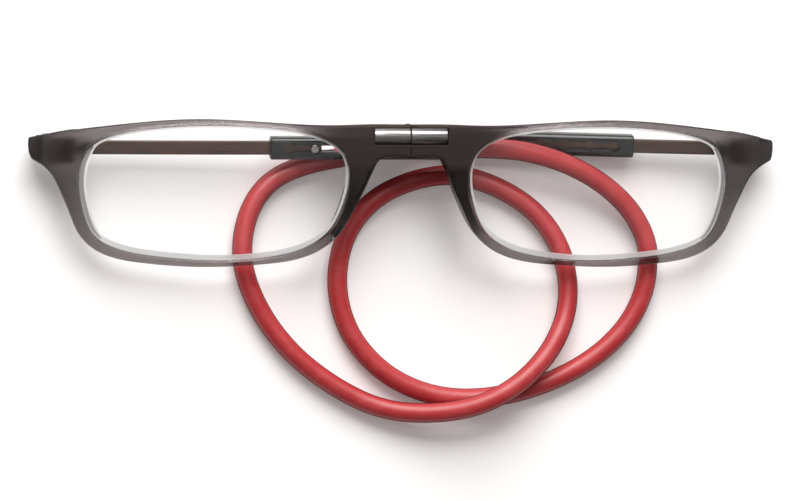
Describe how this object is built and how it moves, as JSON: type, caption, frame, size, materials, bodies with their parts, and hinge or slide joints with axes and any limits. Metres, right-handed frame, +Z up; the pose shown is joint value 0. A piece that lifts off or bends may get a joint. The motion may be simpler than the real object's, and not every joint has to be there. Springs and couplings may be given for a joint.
{
  "type": "magnetic bridge reading glasses with neck cord",
  "caption": "Reading glasses that part at a magnetic bridge, folded, with flat arms sliding in click sleeves joined by a looped neck cord.",
  "frame": {"origin": "on the table, under the middle of the folded glasses, measured without the neck cord", "axes": "+X runs along the front from the left half to the right half as the front is seen, +Y runs up the face towards the brow edge, +Z is up from the table"},
  "size_m": [0.1392, 0.0561, 0.0142],
  "materials": {
    "front_plastic": "satin translucent smoke-grey plastic",
    "lens_clear": "clear polished reading lens",
    "magnet_metal": "nickel plated",
    "hinge_metal": "dark plated hinge metal",
    "screw_metal": "plated steel screw",
    "bar_metal": "brown-grey plated flat bar",
    "pin_metal": "bright rivet",
    "sleeve_plastic": "black moulded plastic",
    "plug_plastic": "black moulded plastic",
    "cord_silicone": "matte red silicone"
  },
  "bodies": {
    "cord_and_sleeves": {"neck_cord": "cord_silicone", "sleeve_left": "sleeve_plastic", "sleeve_right": "sleeve_plastic", "cord_plug_left": "plug_plastic", "cord_plug_right": "plug_plastic"},
    "arm_left": {"temple_bar_left": "bar_metal", "click_pin_left": "pin_metal"},
    "arm_right": {"temple_bar_right": "bar_metal", "click_pin_right": "pin_metal"},
    "half_left": {"front_left": "front_plastic", "lens_left": "lens_clear", "magnet_left": "magnet_metal", "hinge_leaf_left": "hinge_metal", "hinge_screw_left": "screw_metal"},
    "half_right": {"front_right": "front_plastic", "lens_right": "lens_clear", "magnet_right": "magnet_metal", "hinge_leaf_right": "hinge_metal", "hinge_screw_right": "screw_metal"}
  },
  "joints": [
    {"name": "left_length", "type": "slide", "parent": "cord_and_sleeves", "child": "arm_left", "axis": [-0.9989, 0.0005, -0.046], "range_m": [0, 0.00465]},
    {"name": "left_hinge", "type": "hinge", "parent": "arm_left", "child": "half_left", "pos_m": [-0.0658, 0.0083, 0.00345], "axis": [0, -0.9836, -0.1805], "range_deg": [0, 92]},
    {"name": "right_length", "type": "slide", "parent": "cord_and_sleeves", "child": "arm_right", "axis": [0.9994, -0.0228, 0.0277], "range_m": [0, 0.02325]},
    {"name": "right_hinge", "type": "hinge", "parent": "arm_right", "child": "half_right", "pos_m": [0.0658, 0.0083, 0.00345], "axis": [0, 0.9836, 0.1805], "range_deg": [0, 92]}
  ]
}
